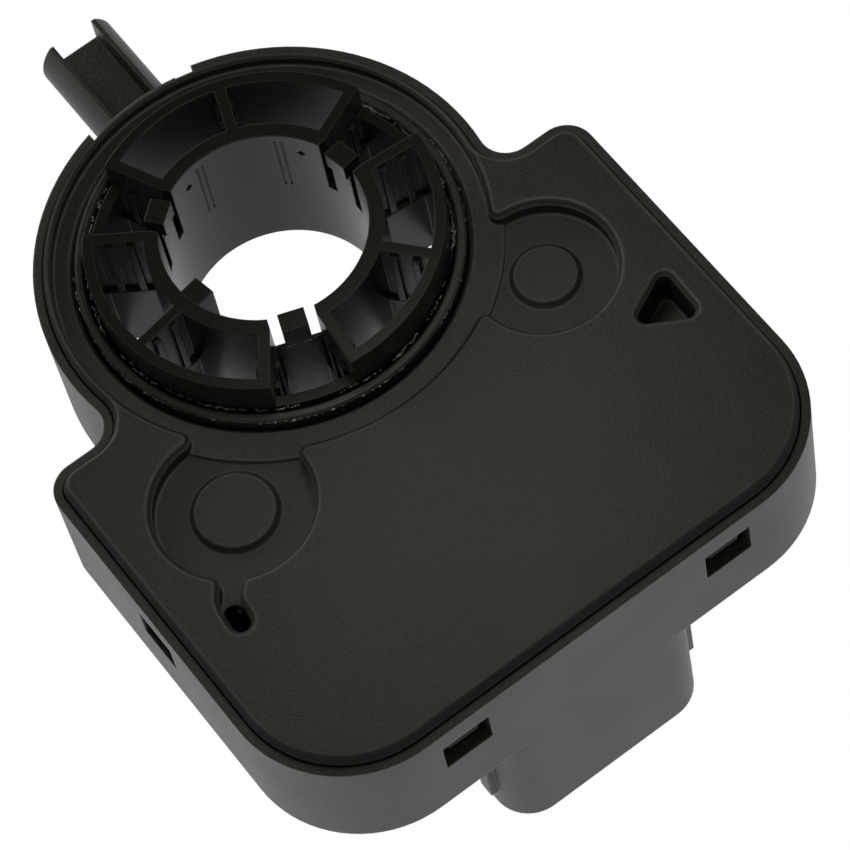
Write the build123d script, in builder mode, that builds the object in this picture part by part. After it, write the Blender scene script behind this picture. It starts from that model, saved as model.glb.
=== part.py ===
from build123d import *

import os
from math import acos, cos, pi, radians, sin, tan

# Steering angle sensor, in millimetres.
# The steering axis is Z. The origin is on that axis, at the housing's underside.
# The connector wall faces -Y and the locating arm points along +Y.

# Tolerances of the drawing
same_place = 0.01
cut_past = 1.0

# Gear train
gear_module = 0.8
pressure_angle = 20.0
tip_factor = 0.95
root_factor = 1.25
tooth_play = 0.16
drive_teeth = 62
gear_a_teeth = 18
gear_b_teeth = 21
gear_a_direction = -45.5
gear_b_direction = -132.3
gear_room = 0.44

# Housing walls and plan
wall = 1.6
floor_thickness = 1.8
housing_height = 16.2
shoulder_ledge = 9.9
front_reach = 61.4
shoulder_reach = 8.0
front_corner = 14.5
shoulder_corner = 3.6
neck_fillet = 3.4
rim_width = 1.05
rim_depth = 2.0

# Cover
cover_gap = 0.2
cover_rise = 1.5
cover_skin = 1.5
cover_skirt = 1.6
cover_edge_rise = 0.3
cover_edge_lean = 27.0
annulus_radius = 25.4
front_annulus_radius = 26.4
annulus_drop = 2.0
recess_drop = 2.5
recess_margin_a = 0.4
recess_margin_b = 0.0
recess_step_radius = 27.0
pocket_corner = 1.2
pocket_edge_drop = 0.6
pocket_edge_lean = 45.0
disc_rise = 0.7
disc_foot_radius_a = 4.3
disc_foot_radius_b = 5.25
disc_lean = 45.0
tab_half_width = 4.9
tab_radius = 26.9
feeler_slot_x = -29.85
feeler_slot_y = -35.8
feeler_slot_length = 4.6
feeler_slot_width = 2.3
feeler_slot_turn = 84.0
channel_length = 7.0
channel_turn = 50.0
channel_place = (-27.9, -32.0)
pit_points = [(32.6, -31.5), (25.4, -35.1), (32.3, -39.3)]
pit_round = 1.0
pit_depth = 6.0
pit_wall = 1.2
pit_edge_drop = 0.5
opening_edge_drop = 0.5

# Snap windows in the housing and the cover's legs behind them
window_width = 6.2
window_height = 4.9
window_drop = 3.2
front_window_x = 18.0
side_window_y = -29.6
leg_gap = 0.15
leg_thickness = 1.1
leg_width = 5.0
leg_board_gap = 2.6
leg_root = 1.0
hook_width = 3.8
hook_height = 3.8
hook_setback = 0.8
hook_play = 0.3
hook_ramp = 1.4

# Rotor hub
bore_radius = 12.1
tube_wall = 1.8
hub_height = 21.4
pocket_width = 5.7
drum_wall = 1.3
drum_foot_step = 0.5
rib_thickness = 1.3
rib_foot_extra = 0.5
rib_foot_height = 11.0
ridge_width = 0.9
ridge_depth = 0.45
ridge_offset = 1.3
ridge_drop = 1.0
mid_rib_direction = 69.8
tab_half_angle = 14.8
tab_tube_drop = 3.6
finger_width = 3.1
finger_drop = 0.2
finger_hook = 0.6
finger_hook_height = 2.6
slit_width = 1.2
slit_length = 9.2
slit_skin = 0.6
lug_direction = -170.2
lug_width = 2.8
lug_reach = 9.6
lug_length = 12.95
lug_drop = 0.25
mark_directions = [47.5, 93.7]
mark_spacing = 0.75
mark_width = 0.22
mark_depth = 0.12
mark_length = 9.5
mark_drop = 1.2
peep_directions = [35.7, 103.5]
peep_size = 0.75
peep_drop = 3.2

# Drive gear ring around the hub
ring_gap = 0.6
ring_wall = 1.2
ring_rise = 0.8
ring_fit = 0.1
ring_skirt = 2.9
ring_lip = 2.5
ring_grip_depth = 3.0
ring_edge = 0.3
key_width = 3.0
key_depth = 0.4
key_height = 3.0

# Bearings of the rotor in cover and housing
collar_play = 0.3
collar_wall = 1.4
thrust_rib_width = 1.2
thrust_rib_drop = 0.8
axial_play = 0.3
foot_play = 0.2

# Measuring gears and their magnets
gear_hub_radius = 4.0
gear_hub_rise = 0.8
stud_radius = 1.5
stud_bead = 0.22
stud_bead_height = 0.8
stud_play = 0.1
magnet_radius = 2.6
magnet_height = 2.0
magnet_air_gap = 0.6
magnet_web = 0.5
magnet_fit = 0.05
gear_foot = 1.8

# Circuit board and what sits on it, with its places as laid out for a housing of this reach
layout_reach = 61.4
board_standoff = 1.6
board_thickness = 1.6
board_margin = 0.5
board_rotor_gap = 1.0
post_radius = 2.2
post_inset_x = 6.0
front_post_inset = 8.4
back_post_inset = 6.5
screw_radius = 1.0
screw_head_radius = 1.9
screw_head_height = 1.3
screw_bite = 2.3
screw_play = 0.15
pilot_play = 0.05
cross_width = 0.5
cross_length = 2.4
cross_depth = 0.6
sensor_chip_height = 1.0
lead_pitch = 1.27
lead_width = 0.4
lead_length = 1.0
lead_height = 0.3
block_corner = 0.4
small_chip_lead_count = 4
regulator_lead_count = 3
controller_lead_count = 5
controller_place = (0, -40)
transceiver_place = (-12, -48)
regulator_place = (12, -48)
crystal_place = (-11, -39)
choke_place = (-21, -50)
diode_place = (12, -40)
buffer_place = (23, -48)
buffer_radius = 3.15
buffer_height = 5.8
buffer_foot = 1.0
sensor_chip_size = (4.9, 3.9, sensor_chip_height)
controller_size = (7.0, 7.0, 1.4)
transceiver_size = (4.9, 3.9, 1.5)
regulator_size = (6.5, 3.5, 1.6)
crystal_size = (5.0, 3.2, 1.1)
choke_size = (4.5, 3.2, 2.8)
diode_size = (4.3, 2.6, 2.2)
chip_capacitor_size = (1.6, 0.8, 0.8)
chip_resistor_size = (1.6, 0.8, 0.5)
capacitor_places = [(0, -33), (-5, -33), (5, -33), (-6, -47), (6, -47), (18, -41)]
resistor_places = [(0, -48), (-18, -44), (-22, -44), (-14, -33), (12, -34), (-26, -47)]

# Connector shroud under the front of the housing
shroud_width = 27.6
shroud_centre_x = -0.5
shroud_depth = 15.0
shroud_drop = 19.8
shroud_corner = 4.75
shroud_wall = 1.7
guide_rib_width = 2.0
guide_rib_rise = 0.9
guide_rib_length = 15.8
guide_rib_setback = 3.9
latch_width = 6.0
latch_height = 3.0
latch_lift = 4.0
pin_size = 0.64
pin_pitch = 4.0
pin_row_count = 4
pin_reach = 11.0
pin_rise = 0.9
pin_fit = 0.05
pin_chamfer = 0.15

# Locating arm
arm_radius = 5.0
arm_height = 8.0
arm_reach = 42.5
arm_slot_width = 5.54
arm_slot_floor = 8.3
arm_top = 11.8
arm_notch_half_width = 7.3

# Sizes that follow from the ones above
drive_pitch_radius = gear_module * drive_teeth / 2
gear_a_pitch_radius = gear_module * gear_a_teeth / 2
gear_b_pitch_radius = gear_module * gear_b_teeth / 2
drive_tip_radius = drive_pitch_radius + tip_factor * gear_module
bulge_radius = drive_tip_radius + gear_room + wall
body_width = 2 * (bulge_radius + shoulder_ledge)
gear_a_distance = drive_pitch_radius + gear_a_pitch_radius
gear_b_distance = drive_pitch_radius + gear_b_pitch_radius
gear_a_centre = (
    gear_a_distance * cos(radians(gear_a_direction)),
    gear_a_distance * sin(radians(gear_a_direction)),
)
gear_b_centre = (
    gear_b_distance * cos(radians(gear_b_direction)),
    gear_b_distance * sin(radians(gear_b_direction)),
)

cover_inset = rim_width + cover_gap
seat_height = housing_height - rim_depth
plateau_height = housing_height + cover_rise
annulus_height = plateau_height - annulus_drop
recess_height = plateau_height - recess_drop
recess_radius_a = gear_a_pitch_radius + tip_factor * gear_module + recess_margin_a
recess_radius_b = gear_b_pitch_radius + tip_factor * gear_module + recess_margin_b

tube_radius = bore_radius + tube_wall
drum_inner_radius = tube_radius + pocket_width
drum_radius = drum_inner_radius + drum_wall
drum_foot_radius = drum_radius - drum_foot_step
ring_inner_radius = drum_radius + ring_gap
ring_radius = ring_inner_radius + ring_wall
ring_top = housing_height + ring_rise
opening_radius = ring_radius + collar_play

board_bottom = floor_thickness + board_standoff
board_top = board_bottom + board_thickness
magnet_bottom = board_top + sensor_chip_height + magnet_air_gap
magnet_top = magnet_bottom + magnet_height
stud_bottom = magnet_top + magnet_web + axial_play
gear_bottom = magnet_bottom + gear_foot
gear_top = seat_height - thrust_rib_drop - axial_play
gear_face = gear_top - gear_bottom
gear_hub_top = gear_top + gear_hub_rise
leg_length = seat_height - board_top - leg_board_gap
ring_bottom = gear_bottom - ring_skirt
hub_step_height = ring_bottom + ring_lip
ring_grip_top = ring_top - ring_grip_depth
slit_floor = hub_height - slit_length
tab_tube_height = hub_height - tab_tube_drop
lug_floor = hub_height - lug_drop - lug_length
peep_height = hub_height - peep_drop
cover_edge_foot = housing_height + cover_edge_rise
pit_floor = plateau_height - pit_depth
collar_height = ring_bottom - axial_play
collar_inner_radius = drum_foot_radius + foot_play
collar_outer_radius = collar_inner_radius + collar_wall


rib_centre_radius = tube_radius + pocket_width / 2
rib_length = pocket_width + drum_wall / 2
slit_depth = tube_wall - slit_skin + 2 * finger_hook
slit_centre_radius = tube_radius - slit_skin - slit_depth / 2
slit_offset = (finger_width + slit_width) / 2
tab_directions = [mid_rib_direction + 60 + 120 * k for k in range(3)]
mid_rib_directions = [mid_rib_direction + 120 * k for k in range(3)]
tab_rib_directions = [d + side * tab_half_angle for d in tab_directions for side in (-1, 1)]
rib_directions = mid_rib_directions + tab_rib_directions

board_rotor_radius = ring_radius + board_rotor_gap
post_x = body_width / 2 - post_inset_x
front_post_y = front_post_inset - front_reach
back_post_y = -(shoulder_reach + back_post_inset)
post_places = [(side * post_x, y) for side in (-1, 1) for y in (front_post_y, back_post_y)]
shroud_centre_y = -front_reach + shroud_depth / 2
pin_places = [
    (
        shroud_centre_x + (column - (pin_row_count - 1) / 2) * pin_pitch,
        shroud_centre_y + side * pin_pitch / 2,
    )
    for side in (-1, 1)
    for column in range(pin_row_count)
]
leg_inset = wall + leg_gap
window_centre_z = housing_height - window_drop - window_height / 2
hook_top = housing_height - window_drop - hook_play

# Planes on the outer walls at the snap windows, looking outwards with local Y up
window_planes = [
    Plane(origin=(-front_window_x, -front_reach, 0), x_dir=(1, 0, 0), z_dir=(0, -1, 0)),
    Plane(origin=(front_window_x, -front_reach, 0), x_dir=(1, 0, 0), z_dir=(0, -1, 0)),
    Plane(origin=(body_width / 2, side_window_y, 0), x_dir=(0, 1, 0), z_dir=(1, 0, 0)),
    Plane(origin=(-body_width / 2, side_window_y, 0), x_dir=(0, -1, 0), z_dir=(-1, 0, 0)),
]


def involute(angle):
    """Involute function of an angle in radians."""
    return tan(angle) - angle


def gear_points(teeth, turn):
    """Corners of a spur gear's outline, with one tooth centred on the direction turn."""
    pitch_radius = gear_module * teeth / 2
    base_radius = pitch_radius * cos(radians(pressure_angle))
    root_radius = pitch_radius - root_factor * gear_module
    tip_radius = pitch_radius + tip_factor * gear_module
    half_tooth = (pi * gear_module / 2 - tooth_play / 2) / (2 * pitch_radius)

    def half_angle(radius):
        roll = acos(min(1.0, base_radius / radius))
        return half_tooth + involute(radians(pressure_angle)) - involute(roll)

    flank = [root_radius, pitch_radius, tip_radius]
    if base_radius > root_radius:
        flank.insert(1, base_radius)
    points = []
    for tooth in range(teeth):
        centre = radians(turn) + 2 * pi * tooth / teeth
        for radius in flank:
            angle = centre - half_angle(max(radius, base_radius))
            points.append((radius * cos(angle), radius * sin(angle)))
        for radius in reversed(flank):
            angle = centre + half_angle(max(radius, base_radius))
            points.append((radius * cos(angle), radius * sin(angle)))
    return points


def gear_plan(teeth, turn):
    """Face of a spur gear."""
    with BuildSketch() as plan:
        with BuildLine():
            Polyline(*gear_points(teeth, turn), close=True)
        make_face()
    return plan.sketch


def mesh_turn(direction, teeth):
    """Direction of a tooth of a measuring gear that meshes with the drive gear."""
    drive_pitch_angle = 360 / drive_teeth
    phase = direction / drive_pitch_angle - round(direction / drive_pitch_angle)
    return direction + 180 + (phase + 0.5) * 360 / teeth


def on_board(place):
    """Place on the board, with the rows spread between the rotor and the front wall."""
    x, y = place
    row_spread = (front_reach - board_rotor_radius) / (layout_reach - board_rotor_radius)
    return (x, (y + board_rotor_radius) * row_spread - board_rotor_radius)


def body_plan(inset):
    """Plan of the housing with every wall set in by inset."""
    shoulder_y = -(shoulder_reach + inset)
    with BuildSketch() as plan:
        with Locations((0, -(front_reach + shoulder_reach) / 2)):
            Rectangle(body_width - 2 * inset, front_reach - shoulder_reach - 2 * inset)
        fillet(plan.vertices().group_by(Axis.Y)[0], front_corner - inset)
        fillet(plan.vertices().group_by(Axis.Y)[-1], shoulder_corner - inset)
        Circle(bulge_radius - inset)
        shoulder_line = plan.vertices().filter_by(lambda v: abs(v.Y - shoulder_y) < same_place)
        fillet(shoulder_line.sort_by(lambda v: abs(v.X))[:2], neck_fillet + inset)
    return plan.sketch


def sector_plan(direction, half_angle, side_offset, reach):
    """Wedge from the axis, its sides moved in by side_offset."""
    apex = side_offset / sin(radians(half_angle))
    corner_x = apex + reach * cos(radians(half_angle))
    corner_y = reach * sin(radians(half_angle))
    with BuildSketch() as plan:
        with Locations(Rotation(0, 0, direction)):
            Polygon((apex, 0), (corner_x, -corner_y), (corner_x, corner_y), align=None)
    return plan.sketch


outer_plan = body_plan(0)
rim_plan = body_plan(rim_width)
cover_plan = body_plan(cover_inset)
cavity_plan = body_plan(wall)
cover_inner_plan = body_plan(cover_inset + cover_skirt)
board_body_plan = body_plan(wall + board_margin)
drive_gear_plan = gear_plan(drive_teeth, 0)
front_sector_plan = sector_plan(
    (gear_a_direction + gear_b_direction) / 2,
    (gear_a_direction - gear_b_direction) / 2,
    0,
    2 * front_annulus_radius,
)
tab_sector_plans = [
    sector_plan(direction, tab_half_angle, rib_thickness / 2, drum_radius + cut_past)
    for direction in tab_directions
]

# Housing: tray with the connector shroud, the locating arm and the rotor's foot bearing
with BuildPart() as housing:
    with BuildSketch():
        add(outer_plan)
    extrude(amount=housing_height)

    # Locating arm, a slotted rod on the round end
    arm_length = arm_reach - bulge_radius
    with BuildSketch(Plane.XZ.offset(-arm_reach)):
        with Locations((0, arm_height)):
            Circle(arm_radius)
    extrude(amount=arm_length + wall)
    with BuildSketch(Plane.XZ.offset(-arm_reach)):
        with Locations((0, (arm_slot_floor + housing_height) / 2)):
            Rectangle(arm_slot_width, housing_height - arm_slot_floor)
    extrude(amount=arm_length, mode=Mode.SUBTRACT)
    with BuildSketch(Plane.XY.offset(arm_top)):
        with Locations((0, bulge_radius + arm_length / 2)):
            Rectangle(2 * arm_radius, arm_length)
    extrude(amount=housing_height - arm_top, mode=Mode.SUBTRACT)

    # Cavity, rim, and the gap in the rim behind the arm
    with BuildSketch(Plane.XY.offset(floor_thickness)):
        add(cavity_plan)
    extrude(amount=housing_height, mode=Mode.SUBTRACT)
    with BuildSketch(Plane.XY.offset(seat_height)):
        add(rim_plan)
        with Locations((0, bulge_radius)):
            Rectangle(2 * arm_notch_half_width, bulge_radius)
    extrude(amount=rim_depth, mode=Mode.SUBTRACT)

    # Foot bearing for the rotor
    with BuildSketch(Plane.XY.offset(floor_thickness)):
        Circle(collar_outer_radius)
    extrude(amount=collar_height - floor_thickness)
    with BuildSketch():
        Circle(collar_inner_radius)
    extrude(amount=collar_height, mode=Mode.SUBTRACT)

    # Posts under the circuit board, with pilot holes
    with BuildSketch(Plane.XY.offset(floor_thickness)):
        with Locations(*post_places):
            Circle(post_radius)
    extrude(amount=board_standoff)
    with BuildSketch(Plane.XY.offset(board_bottom)):
        with Locations(*post_places):
            Circle(screw_radius + pilot_play)
    extrude(amount=-(screw_bite + screw_play), mode=Mode.SUBTRACT)

    # Connector shroud with guide ribs, open downwards
    with BuildSketch():
        with Locations((shroud_centre_x, shroud_centre_y)):
            RectangleRounded(shroud_width, shroud_depth, shroud_corner)
    extrude(amount=-shroud_drop)
    with BuildSketch():
        with Locations((shroud_centre_x, guide_rib_setback + guide_rib_width / 2 - front_reach)):
            Rectangle(shroud_width + 2 * guide_rib_rise, guide_rib_width)
    extrude(amount=-guide_rib_length)
    with BuildSketch(Plane.XY.offset(-shroud_drop)):
        with Locations((shroud_centre_x, shroud_centre_y)):
            RectangleRounded(
                shroud_width - 2 * shroud_wall,
                shroud_depth - 2 * shroud_wall,
                shroud_corner - shroud_wall,
            )
    extrude(amount=shroud_drop, mode=Mode.SUBTRACT)
    with BuildSketch(Plane.XZ.offset(front_reach - shroud_depth)):
        with Locations((shroud_centre_x, latch_lift + latch_height / 2 - shroud_drop)):
            Rectangle(latch_width, latch_height)
    extrude(amount=shroud_wall, mode=Mode.SUBTRACT)

    # Holes for the contact pins
    with BuildSketch():
        with Locations(*pin_places):
            Rectangle(pin_size + 2 * pin_fit, pin_size + 2 * pin_fit)
    extrude(amount=floor_thickness, mode=Mode.SUBTRACT)

    # Snap windows
    for window_plane in window_planes:
        with BuildSketch(window_plane):
            with Locations((0, window_centre_z)):
                Rectangle(window_width, window_height)
        extrude(amount=-wall, mode=Mode.SUBTRACT)
housing.part.label = "housing"

# Plan of the ring step, the gear recesses and the channel to the feeler slot, its inward corners rounded
with BuildSketch() as pocket_sketch:
    Circle(front_annulus_radius)
    add(front_sector_plan, mode=Mode.INTERSECT)
    Circle(annulus_radius)
    with Locations(gear_a_centre):
        Circle(recess_radius_a)
    with Locations(gear_b_centre):
        Circle(recess_radius_b)
    with Locations((feeler_slot_x, feeler_slot_y)):
        SlotOverall(feeler_slot_length, feeler_slot_width, rotation=feeler_slot_turn)
    with Locations(channel_place):
        SlotOverall(channel_length, feeler_slot_width, rotation=channel_turn)
    offset(amount=pocket_corner)
    offset(amount=-pocket_corner)
pocket_plan = pocket_sketch.sketch

# Triangular pit in the cover
with BuildSketch() as pit_plan:
    with BuildLine():
        Polyline(*pit_points, close=True)
    make_face()
    fillet(pit_plan.vertices(), pit_round)

# Cover: plate with the stepped ring around the rotor, the gear recesses and the snap legs
with BuildPart() as cover:
    with BuildSketch(Plane.XY.offset(seat_height)):
        add(cover_plan)
    extrude(amount=cover_edge_foot - seat_height)
    with BuildSketch(Plane.XY.offset(cover_edge_foot)):
        add(cover_plan)
    extrude(amount=plateau_height - cover_edge_foot, taper=cover_edge_lean)
    with BuildSketch(Plane.XY.offset(seat_height)):
        Circle(tab_radius)
        with Locations((0, tab_radius)):
            Rectangle(2 * tab_half_width, 2 * wall, mode=Mode.INTERSECT)
    extrude(amount=rim_depth)

    # Ring step around the rotor, with deeper recesses over the measuring gears and at the feeler slot
    with BuildSketch(Plane.XY.offset(annulus_height)):
        add(pocket_plan)
    extrude(amount=annulus_drop, mode=Mode.SUBTRACT)
    with BuildSketch(Plane.XY.offset(plateau_height - pocket_edge_drop)):
        add(pocket_plan)
    extrude(amount=pocket_edge_drop, taper=-pocket_edge_lean, mode=Mode.SUBTRACT)
    with BuildSketch(Plane.XY.offset(recess_height)):
        add(pocket_plan)
        Circle(recess_step_radius, mode=Mode.SUBTRACT)
    extrude(amount=recess_drop - annulus_drop, mode=Mode.SUBTRACT)

    # Flat round bosses over the gear studs, with leaning sides
    for centre, foot_radius in ((gear_a_centre, disc_foot_radius_a), (gear_b_centre, disc_foot_radius_b)):
        with BuildSketch(Plane.XY.offset(recess_height)):
            with Locations(centre):
                Circle(foot_radius)
        extrude(amount=disc_rise, taper=disc_lean)

    # Hollow underside that leaves a skirt, the ring and the recess floors
    with BuildSketch(Plane.XY.offset(seat_height)):
        add(cover_inner_plan)
        Circle(front_annulus_radius + cover_skin, mode=Mode.SUBTRACT)
        with Locations(gear_a_centre):
            Circle(recess_radius_a + cover_skin, mode=Mode.SUBTRACT)
        with Locations(gear_b_centre):
            Circle(recess_radius_b + cover_skin, mode=Mode.SUBTRACT)
        with Locations((feeler_slot_x, feeler_slot_y)):
            Circle(feeler_slot_length / 2 + cover_skin, mode=Mode.SUBTRACT)
    extrude(amount=plateau_height - cover_skin - seat_height, mode=Mode.SUBTRACT)

    # Boss under the triangular pit
    with BuildSketch(Plane.XY.offset(pit_floor - cover_skin)):
        add(pit_plan.sketch)
        offset(amount=pit_wall)
    extrude(amount=pit_depth)

    # Thrust rib around the opening, and the beaded studs that carry the measuring gears
    with BuildSketch(Plane.XY.offset(seat_height)):
        Circle(opening_radius + thrust_rib_width)
    extrude(amount=-thrust_rib_drop)
    with BuildSketch(Plane.XY.offset(seat_height)):
        with Locations(gear_a_centre, gear_b_centre):
            Circle(stud_radius)
    extrude(amount=stud_bottom - seat_height)
    with BuildSketch(Plane.XY.offset(stud_bottom)):
        with Locations(gear_a_centre, gear_b_centre):
            Circle(stud_radius + stud_bead)
    extrude(amount=stud_bead_height)

    # Openings through the cover, the rotor's with a leaning rim
    with BuildSketch(Plane.XY.offset(seat_height)):
        with Locations((feeler_slot_x, feeler_slot_y)):
            SlotOverall(feeler_slot_length, feeler_slot_width, rotation=feeler_slot_turn)
    extrude(amount=recess_height - seat_height, mode=Mode.SUBTRACT)
    with BuildSketch(Plane.XY.offset(seat_height - thrust_rib_drop)):
        Circle(opening_radius)
    extrude(amount=annulus_height - seat_height + thrust_rib_drop, mode=Mode.SUBTRACT)
    with BuildSketch(Plane.XY.offset(annulus_height - opening_edge_drop)):
        Circle(opening_radius)
    extrude(amount=opening_edge_drop, taper=-pocket_edge_lean, mode=Mode.SUBTRACT)

    # Triangular pit with a leaning rim
    with BuildSketch(Plane.XY.offset(pit_floor)):
        add(pit_plan.sketch)
    extrude(amount=pit_depth, mode=Mode.SUBTRACT)
    with BuildSketch(Plane.XY.offset(plateau_height - pit_edge_drop)):
        add(pit_plan.sketch)
    extrude(amount=pit_edge_drop, taper=-pocket_edge_lean, mode=Mode.SUBTRACT)

    # Snap legs behind the windows, each with a ramped hook
    for window_plane in window_planes:
        with BuildSketch(window_plane.offset(-leg_inset)):
            with Locations((0, seat_height + leg_root - (leg_length + leg_root) / 2)):
                Rectangle(leg_width, leg_length + leg_root)
        extrude(amount=-leg_thickness)
        outward = window_plane.z_dir
        hook_plane = Plane(origin=window_plane.origin, x_dir=outward, z_dir=outward.cross(Vector(0, 0, 1)))
        with BuildSketch(hook_plane):
            Polygon(
                (-leg_inset, hook_top),
                (-hook_setback, hook_top),
                (-hook_setback, hook_top - hook_height + hook_ramp),
                (-leg_inset, hook_top - hook_height),
                align=None,
            )
        extrude(amount=hook_width / 2, both=True)
cover.part.label = "cover"

# Rotor hub: bore tube, ribs and drum, with three snap fingers and a driving lug
with BuildPart() as rotor_hub:
    with BuildSketch():
        Circle(drum_foot_radius)
        Circle(drum_inner_radius, mode=Mode.SUBTRACT)
        Circle(tube_radius)
        for direction in rib_directions:
            with Locations(Rotation(0, 0, direction)):
                with Locations((rib_centre_radius, 0)):
                    Rectangle(rib_length, rib_thickness)
        Circle(bore_radius, mode=Mode.SUBTRACT)
    extrude(amount=hub_height)
    with BuildSketch(Plane.XY.offset(hub_step_height)):
        Circle(drum_radius)
        Circle(drum_inner_radius, mode=Mode.SUBTRACT)
    extrude(amount=hub_height - hub_step_height)

    # Thicker foot and upright ridges on the ribs
    with BuildSketch():
        for direction in rib_directions:
            with Locations(Rotation(0, 0, direction)):
                with Locations((rib_centre_radius, 0)):
                    Rectangle(rib_length, rib_thickness + 2 * rib_foot_extra)
    extrude(amount=rib_foot_height)
    with BuildSketch():
        for direction in rib_directions:
            with Locations(Rotation(0, 0, direction)):
                with Locations((rib_centre_radius - ridge_offset, 0), (rib_centre_radius + ridge_offset, 0)):
                    Rectangle(ridge_width, rib_thickness + 2 * ridge_depth)
    extrude(amount=hub_height - ridge_drop)

    # Sectors of the snap fingers: lower drum rim, lower tube wall
    with BuildSketch(Plane.XY.offset(ring_top)):
        for plan in tab_sector_plans:
            add(plan)
        Circle(tube_radius, mode=Mode.SUBTRACT)
    extrude(amount=hub_height - ring_top, mode=Mode.SUBTRACT)
    with BuildSketch(Plane.XY.offset(tab_tube_height)):
        for plan in tab_sector_plans:
            add(plan)
    extrude(amount=hub_height - tab_tube_height, mode=Mode.SUBTRACT)

    # Snap fingers, freed by slits and hooked into the bore
    with BuildSketch(Plane.XY.offset(slit_floor)):
        for direction in tab_directions:
            with Locations(Rotation(0, 0, direction)):
                with Locations((slit_centre_radius, slit_offset), (slit_centre_radius, -slit_offset)):
                    Rectangle(slit_depth, slit_width)
    extrude(amount=hub_height - slit_floor, mode=Mode.SUBTRACT)
    with BuildSketch(Plane.XY.offset(tab_tube_height)):
        for direction in tab_directions:
            with Locations(Rotation(0, 0, direction)):
                with Locations(((bore_radius + tube_radius) / 2, 0)):
                    Rectangle(tube_wall, finger_width)
    extrude(amount=hub_height - finger_drop - tab_tube_height)
    with BuildSketch(Plane.XY.offset(hub_height - finger_drop)):
        for direction in tab_directions:
            with Locations(Rotation(0, 0, direction)):
                with Locations((bore_radius, 0)):
                    Rectangle(2 * finger_hook, finger_width)
    extrude(amount=-finger_hook_height)

    # Driving lug
    with BuildSketch(Plane.XY.offset(lug_floor)):
        with Locations(Rotation(0, 0, lug_direction)):
            with Locations(((lug_reach + bore_radius + tube_wall / 2) / 2, 0)):
                Rectangle(bore_radius + tube_wall / 2 - lug_reach, lug_width)
    extrude(amount=hub_height - lug_drop - lug_floor)

    # Keys that turn the gear ring
    with BuildSketch(Plane.XY.offset(hub_step_height)):
        for direction in mid_rib_directions:
            with Locations(Rotation(0, 0, direction)):
                with Locations((drum_radius, 0)):
                    Rectangle(2 * key_depth, key_width)
    extrude(amount=key_height)

    # Fine witness grooves and two peep holes in the bore
    with BuildSketch(Plane.XY.offset(hub_height - mark_drop)):
        for direction in mark_directions:
            with Locations(Rotation(0, 0, direction)):
                with Locations((bore_radius, mark_spacing / 2), (bore_radius, -mark_spacing / 2)):
                    Rectangle(2 * mark_depth, mark_width)
    extrude(amount=-mark_length, mode=Mode.SUBTRACT)
    for direction in peep_directions:
        radial = (cos(radians(direction)), sin(radians(direction)), 0)
        with BuildSketch(Plane(origin=(0, 0, peep_height), z_dir=radial)):
            Rectangle(peep_size, peep_size, rotation=45)
        extrude(amount=tube_radius + tube_wall, mode=Mode.SUBTRACT)
rotor_hub.part.label = "rotor_hub"

# Drive gear: toothed ring that carries the hub and runs in the cover's opening
with BuildPart() as drive_gear:
    with BuildSketch(Plane.XY.offset(ring_bottom)):
        Circle(ring_radius)
    extrude(amount=ring_top - ring_bottom)
    with BuildSketch(Plane.XY.offset(gear_bottom)):
        add(drive_gear_plan)
    extrude(amount=gear_face)
    with BuildSketch(Plane.XY.offset(ring_bottom)):
        Circle(drum_foot_radius + ring_fit)
    extrude(amount=ring_top - ring_bottom, mode=Mode.SUBTRACT)
    with BuildSketch(Plane.XY.offset(hub_step_height)):
        Circle(drum_radius + ring_fit)
        for direction in mid_rib_directions:
            with Locations(Rotation(0, 0, direction)):
                with Locations((drum_radius, 0)):
                    Rectangle(2 * (key_depth + ring_fit), key_width + 2 * ring_fit)
    extrude(amount=ring_grip_top - hub_step_height, mode=Mode.SUBTRACT)
    with BuildSketch(Plane.XY.offset(ring_grip_top)):
        Circle(ring_inner_radius)
    extrude(amount=ring_top - ring_grip_top, mode=Mode.SUBTRACT)
    chamfer(drive_gear.edges().group_by(Axis.Z)[-1], ring_edge)
drive_gear.part.label = "drive_gear"


def measuring_gear(label, teeth, direction, centre):
    """Gear on a stud of the cover, with a pocket for a magnet in its foot."""
    teeth_plan = gear_plan(teeth, mesh_turn(direction, teeth))
    with BuildPart() as gear:
        with BuildSketch(Plane(origin=(*centre, gear_bottom))):
            add(teeth_plan)
        extrude(amount=gear_face)
        with BuildSketch(Plane(origin=(*centre, magnet_bottom))):
            Circle(gear_hub_radius)
        extrude(amount=gear_hub_top - magnet_bottom)
        with BuildSketch(Plane(origin=(*centre, magnet_bottom))):
            Circle(magnet_radius + magnet_fit)
        extrude(amount=magnet_height, mode=Mode.SUBTRACT)
        with BuildSketch(Plane(origin=(*centre, stud_bottom - axial_play))):
            Circle(stud_radius + stud_play)
        extrude(amount=gear_hub_top - stud_bottom + axial_play, mode=Mode.SUBTRACT)
        with BuildSketch(Plane(origin=(*centre, stud_bottom - axial_play))):
            Circle(stud_radius + stud_bead + stud_play)
        extrude(amount=stud_bead_height + 2 * axial_play, mode=Mode.SUBTRACT)
    gear.part.label = label
    return gear.part


def magnet(label, centre):
    """Disc magnet in the foot of a measuring gear."""
    with BuildPart() as disc:
        with BuildSketch(Plane(origin=(*centre, magnet_bottom))):
            Circle(magnet_radius)
        extrude(amount=magnet_height)
    disc.part.label = label
    return disc.part


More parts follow.
